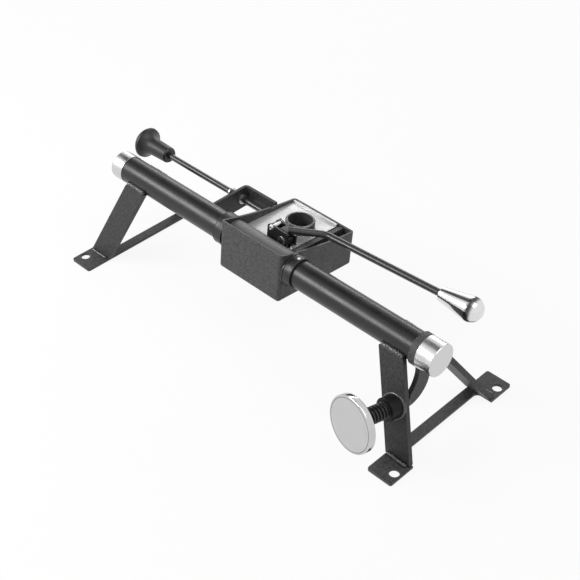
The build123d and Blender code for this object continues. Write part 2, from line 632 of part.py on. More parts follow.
def tension_knob(point, out):
    """The bright disc at the bolt's outer end."""
    disc = extrude(Circle(DISC_DIAMETER / 2), amount=DISC_THICKNESS)
    disc = fillet(disc.edges(), DISC_EDGE_RADIUS)
    return Plane(origin=point + out * (BOLT_STAND_OUT - DISC_THICKNESS), z_dir=out) * disc


def thrust_centre(point, out):
    """The centre of the thrust cap's round nose."""
    return point - out * (BOLT_REACH + THRUST_BODY)


def thrust_cap(point, out):
    """The round-nosed cap that the bolt pushes against the preload arm."""
    centre = thrust_centre(point, out)
    radius = THRUST_DIAMETER / 2
    body = bar_along(centre, out, THRUST_BODY, radius)
    return body + Pos(centre) * Sphere(radius) - bar_along(
        centre + out * THRUST_BODY, out, THRUST_DIAMETER, THRUST_DIAMETER)


def preload_arm(point, out):
    """The curved arm on the end of the torsion bar, whose flat end meets the thrust cap."""
    centre = thrust_centre(point, out)
    hub = ARM_HUB_DIAMETER / 2
    drop = AXIS_Z - centre.Z
    face = centre.Y - AXIS_Y + THRUST_DIAMETER / 2 + FREE_GAP
    hub_shares = {"front": -0.20, "knee": -0.20, "calf": -0.35, "heel": 0.35, "rear": 0.79}
    drop_shares = {"knee": -0.53, "calf": -0.70, "heel": -1.04, "rear": -0.72}
    end_top = (face, -drop + ARM_END_ABOVE)
    end_foot = (face, -drop - ARM_END_BELOW)
    knee = (hub * hub_shares["knee"], drop * drop_shares["knee"])
    calf = (hub * hub_shares["calf"], drop * drop_shares["calf"])
    heel = (hub * hub_shares["heel"], drop * drop_shares["heel"])
    rear = (hub * hub_shares["rear"], drop * drop_shares["rear"])
    outline = [Line((hub * hub_shares["front"], 0), knee), ThreePointArc(knee, calf, end_top),
               Line(end_top, end_foot), ThreePointArc(end_foot, heel, rear),
               Line(rear, (rear[0], 0)), Line((rear[0], 0), (hub * hub_shares["front"], 0))]
    place = Plane.YZ.offset(ARM_LEFT) * Pos(AXIS_Y, AXIS_Z)
    flat = extrude(place * make_face(outline), amount=ARM_FLAT_THICKNESS)
    arm = flat + on_axis(ARM_LEFT, ARM_RIGHT, hub)
    return arm - on_axis(ARM_LEFT, ARM_RIGHT, TUBE_BORE + SEAT_CLEARANCE)


def torsion_bar():
    """The round spring bar, from one end cap to the other."""
    left = LEFT_CAP_END + CAP_WALL + BAR_END_INSET
    right = RIGHT_CAP_END - CAP_WALL - BAR_END_INSET
    return on_axis(left, right, BAR_RADIUS)


def seat_frame(point, out):
    """Everything that is welded or fixed to the seat."""
    plate = side_plate()
    front = leg(FRONT_FOOT_Y, FRONT_LEG_PROUD, FRONT_LEG_SHORT, -1)
    rear = leg(REAR_FOOT_Y, REAR_LEG_PROUD, REAR_LEG_SHORT, 1)
    left_floor = LEFT_CAP_END + CAP_WALL
    return {
        "cross_tube": cross_tube(),
        "right_side_plate": plate,
        "left_side_plate": mirror(plate, about=Plane.YZ),
        "right_front_leg": right_front_leg(point, out),
        "left_front_leg": mirror(front, about=Plane.YZ),
        "right_rear_leg": rear,
        "left_rear_leg": mirror(rear, about=Plane.YZ),
        "left_end_cap": end_cap(TUBE_LEFT, LEFT_CAP_END, TUBE_RADIUS + CAP_LIP),
        "bar_end_plug": end_plug(TUBE_LEFT + PLUG_DEPTH, left_floor, TUBE_BORE - SEAT_CLEARANCE,
                                 BAR_RADIUS + SEAT_CLEARANCE),
        "torsion_bar": torsion_bar(),
        "lock_bracket": lock_bracket(),
        "tension_boss": tension_boss(point, out),
    }


def housing_group():
    """Everything fixed in the tilting housing, in the housing's own frame."""
    return {
        "tilt_housing": tilt_housing(),
        "left_pivot_bush": pivot_bush(-1),
        "right_pivot_bush": pivot_bush(1),
        "cone_plate": cone_plate(),
        "guide_rib": guide_rib(),
        "gas_lift_sleeve": gas_sleeve(),
        "torsion_anchor": torsion_anchor(),
        "anchor_foot": anchor_foot(),
        "anchor_screws": anchor_screws(),
        "lever_bracket": lever_bracket(),
        "lever_pivot_pin": lever_pin(PIVOT_X, PIVOT_Z, PIVOT_DIAMETER),
        "lever_stop_pin": lever_pin(STOP_X, STOP_Z, STOP_DIAMETER),
        "lever_rocker": lever_rocker(),
        "lift_lever": lift_rod(),
        "lift_handle": lift_handle(),
    }


def lock_group():
    """The sliding tilt lock."""
    return {"lock_rod": lock_rod(), "lock_clips": lock_clips(), "lock_knob": lock_knob()}


def tension_group(point, out):
    """The tension adjuster and the preload arm with what turns beside it."""
    right_floor = RIGHT_CAP_END - CAP_WALL
    return {
        "tension_knob": tension_knob(point, out),
        "tension_bolt": tension_bolt(point, out),
        "thrust_cap": thrust_cap(point, out),
        "preload_arm": preload_arm(point, out),
        "bar_drive_plug": end_plug(TUBE_RIGHT - PLUG_DEPTH, right_floor, TUBE_BORE - RUNNING_CLEARANCE,
                                   BAR_RADIUS + RUNNING_CLEARANCE),
        "right_end_cap": end_cap(ARM_RIGHT, RIGHT_CAP_END, ARM_HUB_DIAMETER / 2),
    }


def main():
    """Builds every piece and writes each as its own file."""
    os.makedirs("parts", exist_ok=True)
    point, out = bolt_line()
    pieces = seat_frame(point, out)
    pieces.update({name: HOUSING_PLACE * piece for name, piece in housing_group().items()})
    pieces.update(lock_group())
    pieces.update(tension_group(point, out))
    for name, piece in pieces.items():
        piece.label = name
        export_step(piece, f"parts/{name}.step")


main()
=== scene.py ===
import json
import logging
import math
import random
from collections.abc import Callable, Iterator, Mapping
from contextlib import contextmanager
from dataclasses import dataclass, field
from enum import Enum

import bmesh
import bpy
from mathutils import Matrix, Vector


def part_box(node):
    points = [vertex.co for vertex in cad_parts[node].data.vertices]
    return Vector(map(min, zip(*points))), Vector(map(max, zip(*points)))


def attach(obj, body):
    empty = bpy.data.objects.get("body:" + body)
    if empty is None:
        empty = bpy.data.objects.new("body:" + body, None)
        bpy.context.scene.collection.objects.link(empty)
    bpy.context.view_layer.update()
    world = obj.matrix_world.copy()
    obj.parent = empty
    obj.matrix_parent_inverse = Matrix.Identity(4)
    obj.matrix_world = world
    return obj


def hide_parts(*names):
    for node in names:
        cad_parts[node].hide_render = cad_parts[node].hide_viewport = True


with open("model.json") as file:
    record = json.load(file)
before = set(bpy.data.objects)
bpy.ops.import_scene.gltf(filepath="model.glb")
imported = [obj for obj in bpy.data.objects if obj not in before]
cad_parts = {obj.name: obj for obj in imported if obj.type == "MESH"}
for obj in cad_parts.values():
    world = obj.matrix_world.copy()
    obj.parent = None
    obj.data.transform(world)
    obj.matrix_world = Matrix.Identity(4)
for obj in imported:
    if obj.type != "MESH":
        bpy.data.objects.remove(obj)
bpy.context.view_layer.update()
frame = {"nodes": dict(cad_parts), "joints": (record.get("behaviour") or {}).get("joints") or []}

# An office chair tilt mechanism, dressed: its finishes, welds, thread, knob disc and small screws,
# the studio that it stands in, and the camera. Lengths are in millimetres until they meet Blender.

Pair = tuple[float, float]
Triple = tuple[float, float, float]
Socket = bpy.types.NodeSocket

MM = 0.001
PHOTO_WIDTH = 580
SMALL = 0.01
MERGE = 0.002
FACING_UP = 0.99
WHITE = (1, 1, 1, 1)
EDGE_TURN = (0.995, 0.86)
RIGHTWARD = Vector((1, 0, 0))
UPWARD = Vector((0, 0, 1))

log = logging.getLogger("tilt_mechanism")


def spread(value: float, shares: Pair) -> Pair:
    """The range from one share of a value to another."""
    return value * shares[0], value * shares[1]


class Row(Enum):
    """The two rows of legs, by the sign of their side of the tube along Y."""

    FRONT = -1
    REAR = 1


class Side(Enum):
    """The two ends of the tube, by their sign along X."""

    LEFT = -1
    RIGHT = 1


class Body(Enum):
    """The bodies that pieces ride on."""

    SEAT_FRAME = "seat_frame"
    HOUSING = "housing"
    ADJUSTER = "adjuster"


class Measure(Enum):
    """How a band is measured from its line."""

    ALONG = "DOT_PRODUCT"
    AWAY = "CROSS_PRODUCT"


class Nodes:
    """The nodes of one tree, added and joined with short calls."""

    def __init__(self, tree: bpy.types.NodeTree) -> None:
        """Takes up a tree."""
        self.tree = tree

    def add(self, kind: str, inputs: Mapping[str | int, object] | None = None,
            **settings: object) -> bpy.types.Node:
        """Adds a node.

        Args:
            kind: The node's type without its ShaderNode prefix.
            inputs: A value or another node's output for each named or numbered input.
            settings: The node's own settings.

        Returns:
            The node.
        """
        node = self.tree.nodes.new(f"ShaderNode{kind}")
        for name, value in settings.items():
            setattr(node, name, value)
        for name, value in (inputs or {}).items():
            self.feed(node.inputs[name], value)
        return node

    def feed(self, socket: Socket, value: object) -> None:
        """Joins an output to a socket, or sets the socket's own value.

        Args:
            socket: The socket.
            value: The output or the value.
        """
        if isinstance(value, Socket):
            self.tree.links.new(value, socket)
        else:
            socket.default_value = value

    def mixed(self, base: object, other: object, mask: object) -> Socket:
        """A colour that goes from one to another by a mask. A number stands for a grey."""
        base, other = ((value, value, value, 1) if isinstance(value, float) else value
                       for value in (base, other))
        return self.add("Mix", {"Factor": mask, 6: base, 7: other}, data_type="RGBA").outputs[2]


class Wiring(Nodes):
    """The nodes of one material, round its surface shader."""

    def __init__(self, name: str) -> None:
        """Starts a material.

        Args:
            name: The material's name.
        """
        self.material = bpy.data.materials.new(name)
        self.material.use_nodes = True
        super().__init__(self.material.node_tree)
        self.shader = self.tree.nodes["Principled BSDF"]
        self.place = self.add("TexCoord").outputs["Object"]

    def finished(self, sockets: Mapping[str, object]) -> bpy.types.Material:
        """Sets or joins sockets of the surface shader, and hands the material over.

        Args:
            sockets: A value or another node's output for each named socket.

        Returns:
            The material.
        """
        for name, value in sockets.items():
            self.feed(self.shader.inputs[name], value)
        return self.material

    def stretched(self, scale: Triple, turn: float) -> Socket:
        """Places on the piece, scaled by axis and turned about X, for a pattern with a grain."""
        inputs = {"Vector": self.place, "Rotation": (turn, 0, 0), "Scale": scale}
        return self.add("Mapping", inputs).outputs["Vector"]

    def noise(self, scale: float, detail: float = 2.0, place: Socket | None = None) -> Socket:
        """A soft random pattern from 0 to 1, by its spots to the metre and its finer layers."""
        inputs = {"Vector": place or self.place, "Scale": scale, "Detail": detail}
        return self.add("TexNoise", inputs).outputs["Fac"]

    def ranged(self, value: object, start: Pair, end: Pair = (0.0, 1.0)) -> Socket:
        """A value mapped from one range to another, and held at its ends."""
        inputs = {"Value": value, "From Min": start[0], "From Max": start[1],
                  "To Min": end[0], "To Max": end[1]}
        return self.add("MapRange", inputs, clamp=True).outputs["Result"]

    def blended(self, base: object, other: object, mask: object) -> Socket:
        """A number that goes from one value to another where a mask says."""
        return self.add("Mix", {"Factor": mask, 2: base, 3: other}).outputs[0]

    def multiplied(self, first: object, second: object) -> Socket:
        """Two masks multiplied."""
        return self.add("Math", {0: first, 1: second}, operation="MULTIPLY").outputs["Value"]

    def rounded_edges(self, radius: float) -> tuple[Socket, Socket]:
        """Softens every edge in the light.

        Args:
            radius: The edge radius in millimetres.

        Returns:
            The softened normal, and a mask that is 1 on the edges.
        """
        soft = self.add("Bevel", {"Radius": radius * MM}, samples=6).outputs["Normal"]
        plain = self.add("NewGeometry").outputs["True Normal"]
        along = self.add("VectorMath", {0: soft, 1: plain}, operation="DOT_PRODUCT")
        return soft, self.ranged(along.outputs["Value"], EDGE_TURN)

    def bumped(self, height: object, depth: float, normal: object) -> Socket:
        """A normal, tipped by a height pattern from 0 to 1 whose depth is in millimetres."""
        inputs = {"Height": height, "Distance": depth * MM, "Strength": 1.0, "Normal": normal}
        return self.add("Bump", inputs).outputs["Normal"]


@dataclass(frozen=True)
class Band:
    """A stretch of a piece in another shade, by its distance along or away from a line, for bare
    steel and for painted shade.
    """

    origin: Vector
    direction: Vector
    measure: Measure
    start: float
    end: float
    shade: float
    softness: float = 0.3
    roughness: float = 0.5
    spread: Pair = (0.8, 1.2)

    def mask(self, wiring: Wiring) -> Socket:
        """The band as a mask.

        Args:
            wiring: The material that it is for.

        Returns:
            A mask that is 1 in the band.
        """
        inputs = {0: wiring.place, 1: tuple(self.origin)}
        offset = wiring.add("VectorMath", inputs, operation="SUBTRACT").outputs["Vector"]
        inputs = {0: offset, 1: tuple(self.direction)}
        product = wiring.add("VectorMath", inputs, operation=self.measure.value)
        if self.measure is Measure.AWAY:
            product = wiring.add("VectorMath", {0: product.outputs["Vector"]}, operation="LENGTH")
        distance = product.outputs["Value"]
        inputs = {0: distance, 1: (self.start + self.end) / 2 * MM}
        centred = wiring.add("Math", inputs, operation="SUBTRACT").outputs["Value"]
        off = wiring.add("Math", {0: centred}, operation="ABSOLUTE").outputs["Value"]
        half = (self.end - self.start) / 2
        edge = ((half + self.softness / 2) * MM, (half - self.softness / 2) * MM)
        return wiring.ranged(off, edge)


@dataclass(frozen=True)
class Paint:
    """Black paint on steel, from a smooth gloss to a grainy satin, rubbed thin on the edges."""

    name: str
    shade: float
    roughness: float
    specular: float
    grain: float
    grain_depth: float
    coat: float = 0.0
    rub: float = 0.5
    rubbed_shade: float = 0.16
    mottle: float = 0.3
    bare: Band | None = None
    edge_radius: float = 0.5
    clouds: float = 38.0
    cloud_levels: Pair = (0.5, 0.8)
    cloud_share: float = 0.5
    cloud_lift: float = 1.4
    patches: float = 210.0
    patch_levels: Pair = (0.42, 0.66)
    speckles: float = 520.0
    speckle_levels: Pair = (0.36, 0.64)
    sheen_levels: Pair = (0.3, 0.7)
    sheen_spread: Pair = (0.86, 1.14)
    coat_roughness: float = 0.09

    def material(self) -> bpy.types.Material:
        """Makes the finish.

        Returns:
            Its material.
        """
        wiring = Wiring(self.name)
        cloud = wiring.noise(self.clouds, detail=4.0)
        flow = wiring.noise(self.grain)
        soft, edges = wiring.rounded_edges(self.edge_radius)
        patches = wiring.noise(self.patches, detail=5.0)
        patches = wiring.ranged(patches, self.patch_levels, (0.0, self.rub))
        speckle = wiring.ranged(wiring.noise(self.speckles, detail=3.0), self.speckle_levels)
        body = wiring.mixed(self.shade * (1 - self.mottle), self.shade * (1 + self.mottle), speckle)
        lift = wiring.ranged(cloud, self.cloud_levels, (0.0, self.cloud_share))
        body = wiring.mixed(body, self.shade * self.cloud_lift, lift)
        body = wiring.mixed(body, self.rubbed_shade, wiring.multiplied(edges, patches))
        sheen = spread(self.roughness, self.sheen_spread)
        roughness = wiring.ranged(cloud, self.sheen_levels, sheen)
        if self.bare:
            mask = self.bare.mask(wiring)
            scuffed = wiring.mixed(*spread(self.bare.shade, self.bare.spread), cloud)
            body = wiring.mixed(body, scuffed, mask)
            roughness = wiring.blended(roughness, self.bare.roughness, mask)
        return wiring.finished({
            "Base Color": body, "Roughness": roughness, "Specular IOR Level": self.specular,
            "Coat Weight": self.coat, "Coat Roughness": self.coat_roughness,
            "Normal": wiring.bumped(flow, self.grain_depth, soft)})


@dataclass(frozen=True)
class Plating:
    """Bright plating: chrome, or zinc with the marks of its rolling showing through."""

    name: str
    shade: float
    roughness: float
    line_scale: Triple
    line_depth: float
    cloudiness: float
    turn: float = 0.0
    edge_radius: float = 0.35
    band: Band | None = None
    metallic: float = 1.0
    smears: float = 55.0
    shade_levels: Pair = (0.25, 0.7)
    sheen_levels: Pair = (0.3, 0.75)
    sheen_spread: Pair = (0.7, 1.5)
    edge_highlight_shade: float = 0.9
    edge_share: float = 0.35

    def material(self) -> bpy.types.Material:
        """Makes the finish.

        Returns:
            Its material.
        """
        wiring = Wiring(self.name)
        lines = wiring.noise(1.0, detail=3.0, place=wiring.stretched(self.line_scale, self.turn))
        smears = wiring.noise(self.smears, detail=4.0)
        soft, edges = wiring.rounded_edges(self.edge_radius)
        smeared = wiring.ranged(smears, self.shade_levels)
        body = wiring.mixed(self.shade * (1 - self.cloudiness), self.shade, smeared)
        # Painted edge highlight: every edge lighter.
        body = wiring.mixed(body, self.edge_highlight_shade, wiring.multiplied(edges, self.edge_share))
        if self.band:
            body = wiring.mixed(body, self.band.shade, self.band.mask(wiring))
        sheen = spread(self.roughness, self.sheen_spread)
        return wiring.finished({
            "Base Color": body, "Metallic": self.metallic,
            "Roughness": wiring.ranged(smears, self.sheen_levels, sheen),
            "Normal": wiring.bumped(lines, self.line_depth, soft)})


@dataclass(frozen=True)
class BareSteel:
    """Steel as it left the lathe or the rolling mill, or blackened in hot oxide and oiled."""

    name: str
    shade: float
    roughness: float
    metallic: float
    tool_scale: Triple
    tool_depth: float
    stain: float
    turn: float = 0.0
    edge_radius: float = 0.3
    tool_spread: Pair = (0.75, 1.2)
    blotches: float = 130.0
    stain_levels: Pair = (0.5, 0.68)
    stained: float = 0.3
    sheen_levels: Pair = (0.3, 0.7)
    sheen_spread: Pair = (0.8, 1.3)
    edge_gain: float = 3.0
    edge_lift: float = 0.1
    brightest: float = 0.8
    edge_share: float = 0.6

    def material(self) -> bpy.types.Material:
        """Makes the finish.

        Returns:
            Its material.
        """
        wiring = Wiring(self.name)
        tool = wiring.noise(1.0, place=wiring.stretched(self.tool_scale, self.turn))
        blotches = wiring.noise(self.blotches, detail=5.0)
        soft, edges = wiring.rounded_edges(self.edge_radius)
        body = wiring.mixed(*spread(self.shade, self.tool_spread), tool)
        stain = wiring.ranged(blotches, self.stain_levels, (0.0, self.stain))
        body = wiring.mixed(body, self.shade * self.stained, stain)
        # Every edge lighter: wear where the steel rubs bright, and a painted edge highlight.
        bright = min(self.brightest, self.shade * self.edge_gain + self.edge_lift)
        sheen = spread(self.roughness, self.sheen_spread)
        return wiring.finished({
            "Base Color": wiring.mixed(body, bright, wiring.multiplied(edges, self.edge_share)),
            "Metallic": self.metallic,
            "Roughness": wiring.ranged(blotches, self.sheen_levels, sheen),
            "Normal": wiring.bumped(tool, self.tool_depth, soft)})


@dataclass(frozen=True)
class MouldedPlastic:
    """Matt black moulding with a fine spark-eroded texture and handling shine."""

    name: str
    shade: float
    roughness: float
    texture_depth: float
    texture: float = 2600.0
    handling: float = 70.0
    shade_spread: Pair = (0.85, 1.25)
    sheen_levels: Pair = (0.35, 0.7)
    sheen_spread: Pair = (0.82, 1.1)
    edge_radius: float = 0.5
    edge_gain: float = 2.2
    edge_share: float = 0.4

    def material(self) -> bpy.types.Material:
        """Makes the finish.

        Returns:
            Its material.
        """
        wiring = Wiring(self.name)
        texture = wiring.noise(self.texture)
        handled = wiring.noise(self.handling, detail=3.0)
        soft, edges = wiring.rounded_edges(self.edge_radius)
        body = wiring.mixed(*spread(self.shade, self.shade_spread), handled)
        sheen = spread(self.roughness, self.sheen_spread)
        # Every edge lighter: handling wear, and a painted edge highlight.
        worn_and_lit_edges = wiring.multiplied(edges, self.edge_share)
        return wiring.finished({
            "Base Color": wiring.mixed(body, self.shade * self.edge_gain, worn_and_lit_edges),
            "Roughness": wiring.ranged(handled, self.sheen_levels, sheen),
            "Normal": wiring.bumped(texture, self.texture_depth, soft)})


@dataclass(frozen=True)
class Finishes:
    """Every finish by its name, each made into a material once."""

    table: Mapping[str, bpy.types.Material]

    @classmethod
    def made(cls) -> "Finishes":
        """Makes every finish.

        Returns:
            The finishes, ready to hand out.
        """
        tilt = math.atan2(HOUSING.z.y, HOUSING.z.z)
        bare_middle = Band(TUBE_LINE, RIGHTWARD, Measure.ALONG, start=-47.0, end=39.0, shade=0.15,
                           softness=1.2)
        # Painted shade: a dark line round the disc's face beside its rim, for a groove that the
        # mesh does not have.
        painted_groove_shade = Band(BOLT.origin, BOLT_OUT, Measure.AWAY, start=27.75, end=28.45, shade=0.16)
        # Painted dark reflection: a dark band round the chrome handle, next to its ball.
        ring = Band(HANDLE_SHADE_BAND_ORIGIN, HANDLE_LINE, Measure.ALONG, start=-0.5, end=5.0, shade=0.08,
                    softness=3.0)
        chrome = {"line_scale": (90, 2600, 2600), "line_depth": 0.0008, "cloudiness": 0.07}
        zinc = {"line_scale": (45, 1900, 1900), "line_depth": 0.006, "turn": tilt}
        finishes = (
            Paint("gloss_black_paint", shade=0.012, roughness=0.31, specular=0.42, grain=420.0,
                  grain_depth=0.012, rub=0.25, bare=bare_middle),
            Paint("satin_black_paint", shade=0.055, roughness=0.50, specular=0.34, grain=1700.0,
                  grain_depth=0.035, rub=0.7, mottle=0.42),
            # A darker copy of the satin black paint for the front legs and the lock bracket:
            # painted shade.
            Paint("leg_paint", shade=0.037, roughness=0.48, specular=0.30, grain=1500.0,
                  grain_depth=0.035, rub=0.7, mottle=0.4),
            # A much darker copy of the frame paint for the tension boss: painted shade.
            Paint("boss_paint", shade=0.008, roughness=0.46, specular=0.18, grain=1100.0,
                  grain_depth=0.05),
            # The weld beads' rubbed edges are lighter: wear, and painted glints.
            Paint("weld_paint", shade=0.022, roughness=0.22, specular=0.7, grain=900.0,
                  grain_depth=0.06, coat=0.4, rubbed_shade=0.3),
            Paint("black_rod", shade=0.028, roughness=0.27, specular=0.45, grain=500.0,
                  grain_depth=0.012, coat=0.2, rub=0.3),
            # The chromes differ in shade to set how bright each piece looks: the disc and the caps
            # are darker copies, painted shade.
            Plating("disc_chrome", shade=0.58, roughness=0.12, band=painted_groove_shade, **chrome),
            Plating("handle_chrome", shade=0.76, roughness=0.13, band=ring, **chrome),
            Plating("chrome_plate", shade=0.64, roughness=0.24, **chrome),
            Plating("zinc_sheet", shade=0.64, roughness=0.42, cloudiness=0.14, metallic=0.45,
                    edge_radius=0.15, **zinc),
            Plating("bright_zinc", shade=0.70, roughness=0.33, cloudiness=0.16, **zinc),
            BareSteel("phosphated_steel", shade=0.13, roughness=0.42, metallic=0.6,
                      tool_scale=(420, 420, 420), tool_depth=0.02, stain=0.75, turn=tilt),
            BareSteel("black_oxide_steel", shade=0.022, roughness=0.34, metallic=0.25,
                      tool_scale=(700, 700, 700), tool_depth=0.012, stain=0.5),
            BareSteel("plain_steel", shade=0.30, roughness=0.33, metallic=0.9,
                      tool_scale=(55, 55, 1900), tool_depth=0.010, stain=0.55, turn=tilt),
            MouldedPlastic("black_knob_plastic", shade=0.008, roughness=0.46, texture_depth=0.030),
        )
        return cls({finish.name: finish.material() for finish in finishes})

    def dress(self, piece: bpy.types.Object, finish: str) -> None:
        """Gives a piece one finish."""
        piece.data.materials.clear()
        piece.data.materials.append(self.table[finish])


@dataclass(frozen=True)
class Place:
    """A frame of its own on the object: an origin in metres and two of its directions."""

    origin: Vector
    x: Vector
    z: Vector

    def matrix(self) -> Matrix:
        """The frame as a matrix."""
        turn = Matrix((self.x, self.z.cross(self.x), self.z)).transposed()
        return Matrix.Translation(self.origin) @ turn.to_4x4()

    def point(self, x: float, y: float, z: float) -> Vector:
        """A point of the frame, from millimetres to the row's metres."""
        return self.matrix() @ (Vector((x, y, z)) * MM)

    def shifted(self, x: float, y: float, z: float) -> "Place":
        """The same directions from another origin, given in this frame."""
        return Place(self.point(x, y, z), self.x, self.z)


def joint(name: str) -> dict:
    """The record's entry for a joint."""
    return next(entry for entry in frame["joints"] if entry["name"] == name)


def furthest(node: str, direction: Vector) -> Vector:
    """The corner of a node that reaches furthest in a direction."""
    corners = (corner.co for corner in frame["nodes"][node].data.vertices)
    return max(corners, key=direction.dot).copy()


TUBE_LINE = Vector(joint("tilt")["pos_m"])
HOUSING = Place(TUBE_LINE, RIGHTWARD, RIGHTWARD.cross(Vector(joint("lift")["axis"])))
BOLT_OUT = -Vector(joint("knob_spin")["axis"])
BOLT = Place(Vector(joint("knob_spin")["pos_m"]), UPWARD.cross(BOLT_OUT).normalized(), BOLT_OUT)
ROD_BEND = HOUSING.point(39.9, 50.4, 21.0)
HANDLE_SHADE_BAND_ORIGIN = HOUSING.point(222.9, 63.9, 21.0)
HANDLE_LINE = (HANDLE_SHADE_BAND_ORIGIN - ROD_BEND).normalized()


class Workpiece:
    """A new piece on the bench: a primitive, shaped in edit mode and then put in its place."""

    def __init__(self, name: str, primitive: str, **sizes: object) -> None:
        """Adds the primitive.

        Args:
            name: The piece's name.
            primitive: Which primitive, such as cylinder, plane, circle or torus.
            sizes: What its operator is given, in metres.
        """
        bpy.ops.object.select_all(action="DESELECT")
        getattr(bpy.ops.mesh, f"primitive_{primitive}_add")(**sizes)
        self.object = bpy.context.object
        self.object.name = name
        self.object.data.name = name
        bpy.ops.object.transform_apply(location=True, rotation=True, scale=True)

    @contextmanager
    def editing(self) -> Iterator[None]:
        """Opens the piece in edit mode, and closes it again."""
        bpy.ops.object.mode_set(mode="EDIT")
        yield
        bpy.ops.object.mode_set(mode="OBJECT")

    def pick(self, mode: str, members: str, wanted: Callable[[object], bool]) -> None:
        """Selects the parts of the mesh that pass a test, and nothing else.

        Args:
            mode: The select mode, such as FACE.
            members: What bmesh calls such parts, such as faces.
            wanted: The test.
        """
        bpy.ops.mesh.select_mode(type=mode)
        bpy.ops.mesh.select_all(action="DESELECT")
        for part in getattr(bmesh.from_edit_mesh(self.object.data), members):
            part.select_set(wanted(part))
        bmesh.update_edit_mesh(self.object.data)

    def pick_faces(self, wanted: Callable[[bmesh.types.BMFace], bool]) -> None:
        """Selects the faces that pass a test."""
        self.pick("FACE", "faces", wanted)

    def pick_edges(self, wanted: Callable[[bmesh.types.BMEdge], bool]) -> None:
        """Selects the edges that pass a test."""
        self.pick("EDGE", "edges", wanted)

    def pick_corners(self, wanted: Callable[[Vector], bool]) -> None:
        """Selects the corners whose place passes a test."""
        self.pick("VERT", "verts", lambda corner: wanted(corner.co))

    def pick_rims(self, radius: float) -> None:
        """Selects the level edges further from the Z axis than a radius in millimetres."""
        self.pick_edges(lambda edge: all(corner.co.xy.length > radius * MM for corner in edge.verts)
                        and abs(edge.verts[0].co.z - edge.verts[1].co.z) < SMALL * MM)

    def raise_top(self, height: float, scale: float = 1.0) -> None:
        """Extrudes the selected faces up by millimetres, and scales them about the Z axis."""
        bpy.ops.mesh.extrude_region_move(TRANSFORM_OT_translate={"value": (0, 0, height * MM)})
        bpy.ops.transform.resize(value=(scale, scale, 1), center_override=(0, 0, 0))

    def modify(self, kind: str, **settings: object) -> None:
        """Adds a modifier and applies it.

        Args:
            kind: The modifier's type.
            settings: Its settings.
        """
        modifier = self.object.modifiers.new(kind.lower(), kind)
        for name, value in settings.items():
            setattr(modifier, name, value)
        bpy.context.view_layer.objects.active = self.object
        bpy.ops.object.modifier_apply(modifier=modifier.name)

    def settle(self, place: Matrix, smooth_angle: float = 35.0) -> bpy.types.Object:
        """Closes and smooths the piece, and puts it in its place, with the place in its mesh.

        Args:
            place: Where it goes.
            smooth_angle: The sharpest turn in degrees that still looks round.

        Returns:
            The finished object.
        """
        with self.editing():
            bpy.ops.mesh.select_all(action="SELECT")
            bpy.ops.mesh.remove_doubles(threshold=MERGE * MM)
            bpy.ops.mesh.normals_make_consistent(inside=False)
        bpy.ops.object.select_all(action="DESELECT")
        self.object.select_set(True)
        bpy.context.view_layer.objects.active = self.object
        bpy.ops.object.shade_smooth_by_angle(angle=math.radians(smooth_angle))
        self.object.matrix_world = place
        bpy.ops.object.transform_apply(location=True, rotation=True, scale=True)
        return self.object


@dataclass
class WeldRun:
    """A straight fillet weld with the ripples of its passes."""

    name: str
    start: Vector
    end: Vector
    radius: float
    ripple: float = 1.5
    fewest: int = 4
    seed: int = 1
    sides: int = 14
    start_share: float = 0.45
    end_share: float = 0.4
    crests: Pair = (0.94, 1.12)
    troughs: Pair = (0.76, 0.86)
    drift: float = 0.16

    def build(self) -> bpy.types.Object:
        """Makes the bead.

        Returns:
            The bead in its place.
        """
        chance = random.Random(self.seed)
        run = self.end - self.start
        count = max(self.fewest, round(run.length / (self.ripple * MM)))
        step = run.length / MM / (2 * count)
        piece = Workpiece(self.name, "circle", vertices=self.sides,
                          radius=self.radius * self.start_share * MM, fill_type="NGON")
        size = self.start_share
        with piece.editing():
            for index in range(2 * count):
                wanted = self.end_share
                if index < 2 * count - 1:
                    wanted = chance.uniform(*(self.troughs if index % 2 else self.crests))
                piece.raise_top(step, wanted / size)
                drift = [chance.uniform(-self.drift, self.drift) * MM for _ in range(2)]
                bpy.ops.transform.translate(value=(*drift, 0))
                size = wanted
        piece.modify("SUBSURF", levels=1, render_levels=1)
        turn = run.to_track_quat("Z", "Y").to_matrix().to_4x4()
        return piece.settle(Matrix.Translation(self.start) @ turn)


@dataclass
class WeldRing:
    """A weld that runs round a bar or a boss, all the way or along an arc."""

    name: str
    place: Place
    ring_radius: float
    radius: float
    ripple: float = 1.6
    fewest: int = 8
    arc: Pair = (-180.0, 180.0)
    seed: int = 1
    sides: int = 12
    crests: Pair = (-0.03, 0.08)
    troughs: Pair = (-0.22, -0.12)

    def build(self) -> bpy.types.Object:
        """Makes the bead.

        Returns:
            The bead in its place.
        """
        chance = random.Random(self.seed)
        count = 2 * max(self.fewest, round(2 * math.pi * self.ring_radius / self.ripple))
        low, high = self.arc
        piece = Workpiece(self.name, "torus", major_segments=count, minor_segments=self.sides,
                          major_radius=self.ring_radius * MM, minor_radius=self.radius * MM)
        with piece.editing():
            for index in range(count):
                depth = chance.uniform(*(self.troughs if index % 2 else self.crests))
                piece.pick_corners(lambda corner: self.section(corner, count) == index)
                bpy.ops.transform.shrink_fatten(value=depth * self.radius * MM)
            if high - low < 360:
                piece.pick_corners(lambda corner: not low <= self.angle(corner) <= high)
                bpy.ops.mesh.delete(type="VERT")
                bpy.ops.mesh.select_all(action="SELECT")
                bpy.ops.mesh.fill_holes(sides=self.sides)
        piece.modify("SUBSURF", levels=1, render_levels=1)
        return piece.settle(self.place.matrix())

    @staticmethod
    def angle(corner: Vector) -> float:
        """How far round the ring a corner lies, in degrees."""
        return math.degrees(math.atan2(corner.y, corner.x))

    def section(self, corner: Vector, count: int) -> int:
        """Which of the ring's sections a corner belongs to."""
        return round(self.angle(corner) / 360 * count) % count


